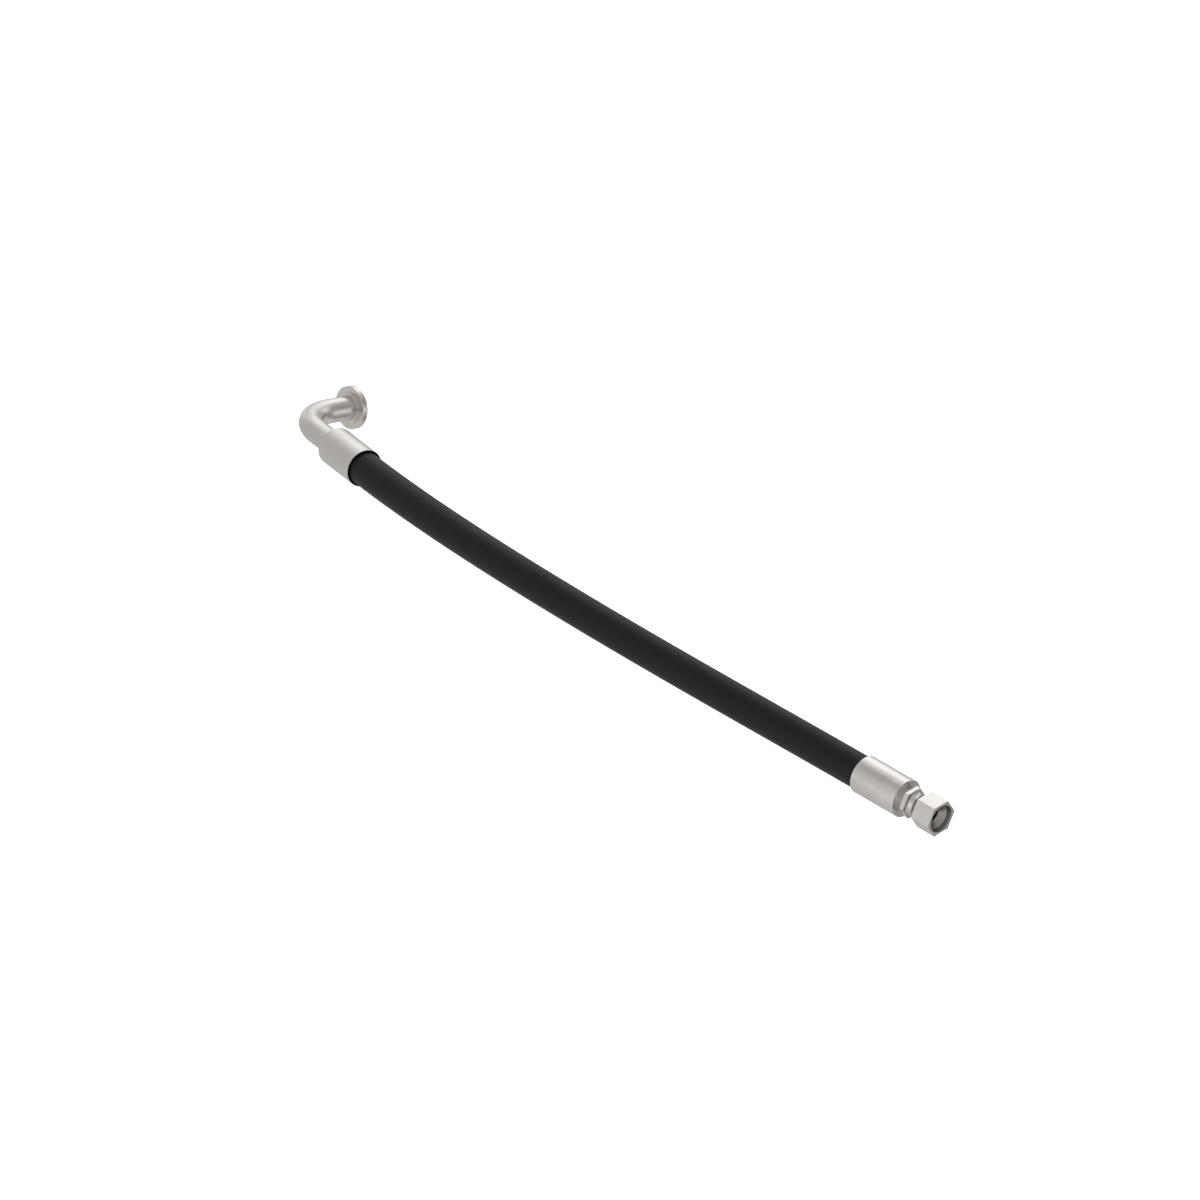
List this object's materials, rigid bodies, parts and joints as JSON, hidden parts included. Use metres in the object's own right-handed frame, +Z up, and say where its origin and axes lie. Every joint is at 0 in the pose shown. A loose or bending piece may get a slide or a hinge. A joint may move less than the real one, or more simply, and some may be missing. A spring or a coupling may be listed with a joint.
{
  "type": "hydraulic hose assembly",
  "caption": "Flexible reinforced rubber hose with a threaded swivel nut fitting crimped on one end and a bent tube with a flange head crimped on the other.",
  "frame": {"origin": "centre of the bounding box in X and Y, at the surface the assembly lies on", "axes": "+X along the right fitting's axis, out of the swivel nut's mouth; +Z up, square to the plane the hose is bent in; +Y towards the side the flange end is bent to"},
  "size_m": [0.65, 0.1158, 0.0363],
  "materials": {
    "hose_rubber": "smooth matt black synthetic rubber cover",
    "braid_wire": "brass-plated high-tensile steel wire braid",
    "interlayer_rubber": "thin bonding rubber",
    "liner_rubber": "smooth oil-resistant rubber",
    "ferrule_steel": "satin zinc-nickel plate over turned steel",
    "fitting_steel": "satin zinc-nickel plate over machined steel",
    "nut_steel": "satin zinc-nickel plate over machined steel",
    "tube_steel": "satin zinc-nickel plate over drawn steel tube",
    "seal_rubber": "semi-gloss black nitrile rubber"
  },
  "bodies": {
    "hose_and_fittings": {"hose_outer_cover": "hose_rubber", "hose_outer_wire_braid": "braid_wire", "hose_rubber_interlayer": "interlayer_rubber", "hose_inner_wire_braid": "braid_wire", "hose_inner_liner": "liner_rubber", "left_ferrule": "ferrule_steel", "right_ferrule": "ferrule_steel", "left_hose_insert": "fitting_steel", "right_stem": "fitting_steel", "elbow_tube": "tube_steel", "flange_head": "fitting_steel", "flange_o_ring": "seal_rubber"},
    "nut": {"swivel_nut": "nut_steel"}
  },
  "joints": [
    {"name": "nut_swivel", "type": "hinge", "parent": "hose_and_fittings", "child": "nut", "pos_m": [0.32499, -0.04445, 0.01319], "axis": [1, 0, 0], "continuous": true}
  ]
}
